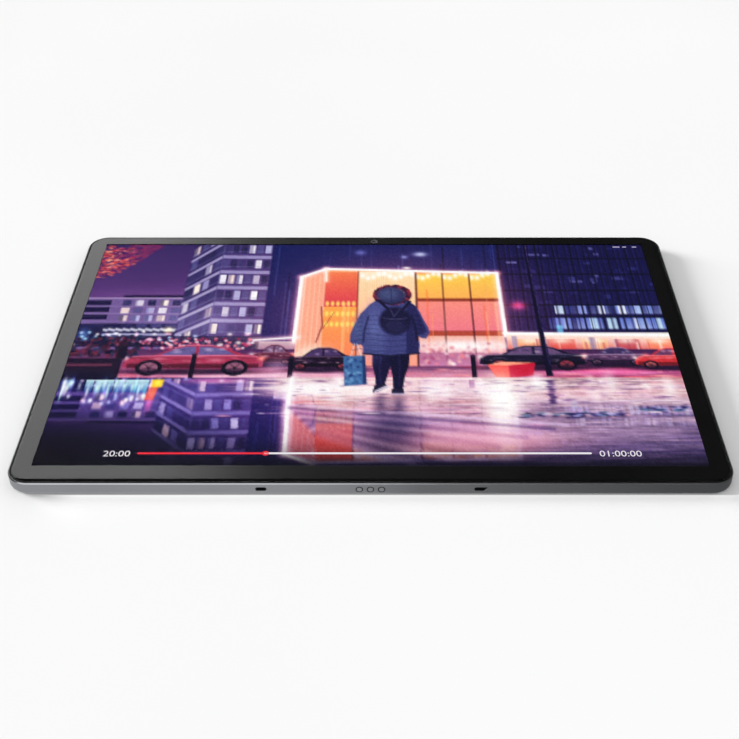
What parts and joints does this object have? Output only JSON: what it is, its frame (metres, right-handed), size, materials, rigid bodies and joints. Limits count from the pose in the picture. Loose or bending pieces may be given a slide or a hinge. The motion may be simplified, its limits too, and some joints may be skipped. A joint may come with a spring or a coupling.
{
  "type": "tablet computer",
  "caption": "Thin metal-cased tablet computer lying on its back, with a lit wide screen, black border, dock contacts on one long edge, side buttons and a card tray.",
  "frame": {"origin": "centre of the casing's flat back face", "axes": "+X along the long side towards the charging port, +Y along the short side away from the dock contacts, +Z out of the screen"},
  "size_m": [0.2645, 0.1717, 0.0058],
  "materials": {
    "casing_metal": "fine bead-blasted, anodised dark grey, bright-cut upper edge",
    "button_metal": "anodised dark grey",
    "trim_metal": "anodised darker grey, polished edge",
    "plate_alloy": "cast, as machined",
    "window_plastic": "moulded, painted to match the casing",
    "frame_plastic": "moulded black, fine satin",
    "cover_glass": "clear, polished, rounded at the edge",
    "border_ink": "black print under the glass",
    "sealant": "black foam tape",
    "clear_adhesive": "optically clear",
    "display_panel": null,
    "steel_sheet": "thin rolled sheet",
    "circuit_board": "dark green solder resist",
    "ribbon_film": "amber film over copper tracks",
    "battery_pouch": "laminated pouch, dark printed film",
    "pull_strip": "white stretch-release tape",
    "shield_steel": "tin-plated sheet",
    "chip_resin": "black moulding resin",
    "graphite_sheet": "pressed graphite film",
    "screw_steel": "zinc-plated",
    "port_plastic": "moulded black",
    "speaker_plastic": "moulded, lightly textured",
    "cone_rubber": "smooth",
    "mesh_steel": "black woven mesh",
    "contact_metal": "light nickel-plated, satin",
    "magnet_metal": "nickel-plated",
    "camera_plastic": "black",
    "lens_glass": "dark coated lens",
    "window_glass": "smoked, polished",
    "flash_plastic": "clear ribbed lens over a white reflector",
    "flash_lamp": "yellow phosphor",
    "antenna_copper": "printed copper",
    "lead_plastic": "black sheath"
  },
  "bodies": {
    "casing": {"antenna_leads": "lead_plastic", "antenna_window": "window_plastic", "battery_cable": "ribbon_film", "battery_cell_left": "battery_pouch", "battery_cell_right": "battery_pouch", "battery_protection_board": "circuit_board", "battery_pull_strips": "pull_strip", "black_border": "border_ink", "board_screws": "screw_steel", "board_shields": "shield_steel", "button_cable": "ribbon_film", "card_socket": "shield_steel", "cover_glass": "cover_glass", "display_back_plate": "steel_sheet", "display_cable": "ribbon_film", "display_driver_board": "circuit_board", "display_panel": "display_panel", "dock_cable": "ribbon_film", "dock_contact_holder": "port_plastic", "dock_contacts": "contact_metal", "dock_magnets": "magnet_metal", "dock_slot_cup_left": "port_plastic", "dock_slot_cup_right": "port_plastic", "eject_lever_pin": "screw_steel", "flash_lamp": "flash_lamp", "flash_lens": "flash_plastic", "frame_rim": "frame_plastic", "front_camera": "camera_plastic", "front_camera_lens": "lens_glass", "glass_seal": "sealant", "heat_spreader": "graphite_sheet", "main_board": "circuit_board", "microphones": "shield_steel", "mid_plate": "plate_alloy", "optical_adhesive": "clear_adhesive", "power_switch": "shield_steel", "processor_and_memory": "chip_resin", "radio_antennas": "antenna_copper", "rear_camera_main": "camera_plastic", "rear_camera_trim": "trim_metal", "rear_camera_wide": "camera_plastic", "rear_camera_window": "window_glass", "rear_cover": "casing_metal", "speaker_cones": "cone_rubber", "speaker_meshes": "mesh_steel", "speakers_left": "speaker_plastic", "speakers_right": "speaker_plastic", "usb_board": "circuit_board", "usb_cable": "ribbon_film", "usb_port_shell": "shield_steel", "usb_port_tongue": "port_plastic", "volume_switches": "shield_steel"},
    "power_key": {"power_button": "button_metal", "power_switch_plunger": "port_plastic"},
    "volume_key": {"volume_rocker": "button_metal"},
    "volume_up_pin": {"volume_up_plunger": "port_plastic"},
    "volume_down_pin": {"volume_down_plunger": "port_plastic"},
    "tray": {"card_tray": "button_metal"},
    "ejector_rod": {"eject_rod": "screw_steel"},
    "ejector_lever": {"eject_lever": "screw_steel"}
  },
  "joints": [
    {"name": "power_press", "type": "slide", "parent": "casing", "child": "power_key", "axis": [1, 0, 0], "range_m": [0, 0.00025]},
    {"name": "volume_rock", "type": "hinge", "parent": "casing", "child": "volume_key", "pos_m": [-0.096, 0.08388, 0.0024], "axis": [0, 0, 1], "range_deg": [-1, 1]},
    {"name": "volume_up_press", "type": "slide", "parent": "casing", "child": "volume_up_pin", "axis": [0, 1, 0], "range_m": [-0.00015, 0.00015]},
    {"name": "volume_down_press", "type": "slide", "parent": "casing", "child": "volume_down_pin", "axis": [0, 1, 0], "range_m": [-0.00015, 0.00015]},
    {"name": "tray_slide", "type": "slide", "parent": "casing", "child": "tray", "axis": [1, 0, 0], "range_m": [0, 0.016]},
    {"name": "eject_rod_push", "type": "slide", "parent": "casing", "child": "ejector_rod", "axis": [-1, 0, 0], "range_m": [0, 0.001]},
    {"name": "eject_lever_swing", "type": "hinge", "parent": "casing", "child": "ejector_lever", "pos_m": [0.1096, 0.07, 0.0024], "axis": [0, 0, 1], "range_deg": [0, 11.6]}
  ],
  "couplings": [
    {"joint": "volume_up_press", "follows": "volume_rock", "m_per_rad": 0.0085},
    {"joint": "volume_down_press", "follows": "volume_rock", "m_per_rad": -0.0085},
    {"joint": "eject_lever_swing", "follows": "eject_rod_push", "rad_per_m": 200}
  ]
}
